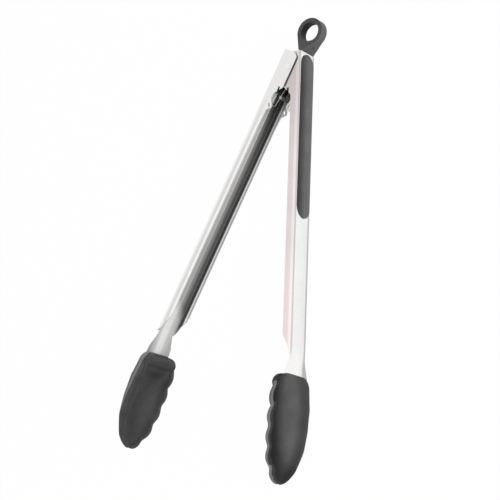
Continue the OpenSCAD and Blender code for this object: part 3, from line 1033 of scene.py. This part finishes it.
    def shell(self, bm: bmesh.types.BMesh, rings: list[tuple[float, Points]]) -> list[bmesh.types.BMEdge]:
        """Draws one ring of edges and extrudes it from section to section.

        Args:
            bm: The mesh.
            rings: Distances with their arches.

        Returns:
            The open rim's edges.
        """
        x, points = rings[0]
        verts = [bm.verts.new((-x, high, across)) for across, high in points]
        edges = [bm.edges.new(pair) for pair in zip(verts, verts[1:])]
        first = list(verts)
        feet = [[verts[0]], [verts[-1]]]
        for x, points in rings[1:]:
            made = bmesh.ops.extrude_edge_only(bm, edges=edges)["geom"]
            fresh = [g for g in made if isinstance(g, bmesh.types.BMVert)]
            link = {e.other_vert(v): v for v in fresh for e in v.link_edges if e.other_vert(v) not in fresh}
            verts = [link[v] for v in verts]
            for vert, (across, high) in zip(verts, points):
                vert.co = (-x, high, across)
            edges = [bm.edges.get(pair) for pair in zip(verts, verts[1:])]
            feet[0].append(verts[0])
            feet[1].append(verts[-1])
        bm.faces.new(first)
        bm.faces.new(verts)
        rim = [bm.edges.get(pair) for row in feet for pair in zip(row, row[1:])]
        return rim + [bm.edges.get((row[0], row[-1])) for row in (first, verts)]

    def zone(self, centre: Vector) -> Skin:
        """Tells the skin of a face of the outer shell by the height of its centre over the rim."""
        over = centre.y - self.rim(-centre.x)
        return (Skin.LIP, Skin.BAND, Skin.SHELL)[sum(over > edge for edge in self.lip_band)]

    def skins(self) -> list[Material]:
        """The finishes, in painted light and shade: the shell and the hollow in bands of painted highlight
        and shade, the lip and the band below it as lighter and darker copies of the silicone.

        Returns:
            The materials in the order of Skin.
        """
        name = f"{self.side.value}_silicone"
        matte = {"roughness": 0.6, "gloss": 0.12}
        # Painted shade across the hollow, darkest near its middle and palest at one side.
        hollow = ((-15, 1), (-10, 0.8), (-5, 0.64), (0, 0.58), (10, 0.66), (15, 0.62))
        if self.side is Side.INNER:
            # Inner head: a painted highlight on the crown, painted shade down the flanks and one side, a
            # paler lip as a painted highlight and a dark band below it as painted shade.
            shell = {"heights": ((-3, 0.3), (2, 0.28), (4, 0.42), (6, 0.72), (8, 0.93), (9, 1)),
                     "stops": ((-17, 0.5), (-9, 0.45), (-4, 0.43), (-1, 0.52), (2, 0.7), (5, 0.88),
                               (12, 0.84), (15, 0.95), (17, 1))}
            lip = {"dark": (0.16, 0.157, 0.16), "light": (0.2, 0.196, 0.2)}
            band = {"dark": (0.04, 0.0395, 0.04), "light": (0.055, 0.054, 0.055)}
        else:
            # Outer head: a painted highlight band along the near flank, painted shade on the crown and on one
            # side, and lip and band toned to the painted shade beside them.
            shell = {"heights": ((-3, 0.35), (4, 0.35), (4.5, 0.22), (5.1, 0.9), (7.2, 1), (8.6, 0.5),
                                 (9.5, 0.5)),
                     "stops": ((-17, 0.3), (4, 0.3), (8, 0.6), (11, 1), (17, 1)), "paler": 11.0}
            lip = {"dark": (0.062, 0.061, 0.062), "light": (0.08, 0.0785, 0.08)}
            band = {"dark": (0.075, 0.074, 0.075), "light": (0.095, 0.0935, 0.095)}
        return [PaintedLightRubber(name, side=self.side, **shell, **matte).material(),
                SoftRubber(f"{name}_lip", **lip, **matte).material(),
                SoftRubber(f"{name}_band", **band, **matte).material(),
                PaintedLightRubber(f"{name}_hollow", side=self.side, stops=hollow, **matte).material()]

    def build(self) -> Made:
        """Builds the outer and inner shells, joins them along the rim and rounds the whole.

        Returns:
            The head.
        """
        piece = Piece(f"{self.side.value}_scoop")
        places, run = self.places(), self.end - self.start
        within = [part_way(self.hollow_start, self.end - self.wall, (x - self.start) / run) for x in places]
        rims = self.shell(piece.bm, [(x, self.outer_arch(x)) for x in places])
        for face in piece.bm.faces:
            face.material_index = self.zone(face.calc_center_median()).value
        outside = len(piece.bm.faces)
        rims += self.shell(piece.bm, [(at, self.inner_arch(x, at)) for x, at in zip(places, within)])
        bmesh.ops.bridge_loops(piece.bm, edges=rims)
        piece.bm.faces.ensure_lookup_table()
        for face in piece.bm.faces[outside:]:
            face.material_index = Skin.HOLLOW.value
        piece.move(ArmSpace(self.side).matrix())
        name = self.side.value
        return [piece.finish(self.skins(), name, Slot.SILICONE, [f"{name}_head"], sharp=180, levels=1)]


@dataclass
class Hinge:
    """Rivet, collar, bushes and the spring round them."""

    edge_round: float = 0.25
    grain: Triple = (900.0, 900.0, 900.0)

    def build(self) -> Made:
        """Builds the turned pieces and the wire.

        Returns:
            The pieces.
        """
        made = []
        bright = BrushedSteel("turned_steel", grain=self.grain, roughness=0.24).material()
        for node in ("pivot_rivet", "rivet_collar", "upper_bush", "lower_bush"):
            piece = Piece(f"{node}_turned").from_node(node).soften(self.edge_round * MM, 3)
            made.append(piece.finish([bright], "outer", Slot.BRIGHT, [node]))
        wire = BrushedSteel("spring_wire", dark=(0.55, 0.54, 0.53), light=(0.7, 0.69, 0.68), grain=self.grain,
                            roughness=0.3).material()
        parts = {"hinge_spring": "outer", "upper_spring_leg": "inner", "lower_spring_leg": "inner"}
        for node, body in parts.items():
            piece = Piece(f"{node}_wire").from_node(node)
            made.append(piece.finish([wire], body, Slot.SPRING, [node], sharp=60))
        return made


@dataclass
class Lock:
    """Guide on the rivet, sliding strip with its cross head, hang ring and pin. Sizes are in millimetres."""

    ring_round: float = 0.7
    ring_x: float = 27.0
    bore: float = 6.7
    bore_edge: float = 0.25
    upright: float = 0.6
    edge_round: float = 0.15

    def build(self) -> Made:
        """Builds the sheet pieces and the moulded ring.

        Returns:
            The pieces.
        """
        # Painted shade and highlight: the lock's steel is darkened below a rise of 8.3 mm and stays paler at
        # its near end above 8.7 mm.
        steel = PolishedSheet("lock_steel", dark=BrushedSteel.dark, light=BrushedSteel.light, roughness=0.4,
                              turn=LockSpace().tilt, axis="rise", metal=0.3,
                              stops=((-9.6, 0.1), (8.3, 0.14), (8.7, 0.5), (9.6, 0.5))).material()
        plastic = SoftRubber("ring_plastic", dark=(0.066, 0.064, 0.0662), light=(0.09, 0.0875, 0.0905),
                             roughness=0.45, gloss=0.2).material()
        # The bore's wall gets a near-black copy of the ring's plastic as painted shade.
        bore = SoftRubber("ring_bore", dark=(0.006, 0.0058, 0.006), light=(0.01, 0.0098, 0.01), gloss=0.1)
        made = []
        for node, body in (("lock_guide", "guide"), ("lock_strip", "lock")):
            piece = Piece(f"{node}_sheet").from_node(node).soften(self.edge_round * MM, 2)
            made.append(piece.finish([steel], body, Slot.BRIGHT, [node]))
        piece = Piece("pull_ring").from_node("hang_ring").soften(self.ring_round * MM, 3)
        centre = LockSpace().matrix() @ Vector((self.ring_x, 0, 0))
        for face in piece.bm.faces:
            away = (face.calc_center_median() - centre).xy.length
            in_bore = away < (self.bore + self.bore_edge) * MM and abs(face.normal.z) < self.upright
            face.material_index = int(in_bore)
        made.append(piece.finish([plastic, bore.material()], "lock", Slot.RING, ["hang_ring"]))
        piece = Piece("pull_ring_pin").from_node("ring_pin").soften(self.edge_round * MM, 2)
        made.append(piece.finish([plastic], "lock", Slot.RING, ["ring_pin"]))
        return made


@dataclass
class Studio:
    """White floor, soft light and the camera. Sizes are in metres, angles in degrees."""

    reach: float = 0.110
    azimuth: float = -12.0
    elevation: float = 52.4
    roll: float = -66.9
    distance: float = 1.18052
    lens: float = 130.7
    sensor: float = 36.0
    shift: tuple[float, float] = (-0.0142, -0.0354)
    clip: tuple[float, float] = (0.05, 20.0)
    lamp_distance: float = 1.2
    floor_half: float = 4.0
    floor_drop: float = 0.0002
    floor_tone: float = 0.97
    floor_roughness: float = 0.8
    white_share: float = 0.985
    world_light: float = 0.3

    @property
    def target(self) -> Vector:
        """The point that the camera looks at, between the arms."""
        return ArmSpace(Side.OUTER).hinge - Vector((self.reach, 0, 0))

    def camera(self) -> None:
        """Places the camera and makes it the scene's."""
        a, e = math.radians(self.azimuth), math.radians(self.elevation)
        back = Vector((math.sin(a) * math.cos(e), -math.cos(a) * math.cos(e), math.sin(e)))
        base = (-back).to_track_quat("-Z", "Y").to_matrix()
        data = bpy.data.cameras.new("camera")
        data.lens, data.sensor_width = self.lens, self.sensor
        data.shift_x, data.shift_y = self.shift
        data.clip_start, data.clip_end = self.clip
        made = in_scene(bpy.data.objects.new("camera", data))
        turn = base @ Matrix.Rotation(math.radians(self.roll), 3, "Z")
        made.matrix_world = Matrix.Translation(self.target + back * self.distance) @ turn.to_4x4()
        bpy.context.scene.camera = made

    def lamp(self, name: str, way: Triple, power: float, size: float) -> None:
        """Places a square soft lamp that looks at the tongs.

        Args:
            name: The lamp's name.
            way: Direction from the tongs to the lamp.
            power: Its power in watts.
            size: Its width in metres.
        """
        data = bpy.data.lights.new(name, "AREA")
        data.energy, data.size = power, size
        made = in_scene(bpy.data.objects.new(name, data))
        made.visible_glossy = False
        made.location = self.target + Vector(way).normalized() * self.lamp_distance
        made.rotation_euler = Vector(way).to_track_quat("Z", "Y").to_euler()

    def floor(self) -> None:
        """A white floor that shows white to the camera and to gloss, and keeps the tongs' shadow."""
        bm = bmesh.new()
        bmesh.ops.create_grid(bm, x_segments=2, y_segments=2, size=self.floor_half)
        mesh = bpy.data.meshes.new("floor")
        bm.to_mesh(mesh)
        bm.free()
        floor = in_scene(bpy.data.objects.new("floor", mesh))
        floor.location = (0, 0, -self.floor_drop)
        graph = ShaderGraph(bpy.data.materials.new("floor_white"))
        graph.dress(Base_Color=(self.floor_tone, self.floor_tone, self.floor_tone, 1),
                    Roughness=self.floor_roughness)
        white = graph.add("Emission", {"Color": (1, 1, 1, 1), "Strength": 1.0})
        share = graph.ramp(graph.sees_white(), 0, self.white_share, 0, 1)
        mixed = graph.add("MixShader", {0: share, 1: graph.shader.outputs[0], 2: white.outputs[0]})
        graph.feed(graph.tree.nodes["Material Output"].inputs["Surface"], mixed.outputs[0])
        mesh.materials.append(graph.owner)

    def world(self) -> None:
        """A plain pale world that shows white to the camera and to gloss."""
        world = bpy.data.worlds.new("studio")
        bpy.context.scene.world = world
        graph = ShaderGraph(world, "Background")
        graph.dress(Color=(1, 1, 1, 1), Strength=graph.ramp(graph.sees_white(), self.world_light, 1, 0, 1))

    def build(self) -> None:
        """Sets up the whole studio."""
        bpy.context.scene.view_settings.view_transform = "Standard"
        self.camera()
        self.floor()
        self.world()
        self.lamp("key", way=(0.15, -1.0, 0.35), power=10.0, size=0.7)
        self.lamp("fill", way=(0.1, -0.62, 0.78), power=5.0, size=0.5)


def main() -> None:
    """Builds every sub-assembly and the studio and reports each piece."""
    logging.basicConfig(level=logging.INFO, format="%(name)s: %(message)s")
    arms = [part(side) for side in Side for part in (StampedArm, GripPad, ScoopHead)]
    for part in (*arms, Hinge(), Lock()):
        for made in part.build():
            LOG.info("%s: %d faces", made.name, len(made.data.polygons))
    Studio().build()
    bpy.context.view_layer.update()


if __name__ == "__main__":
    main()
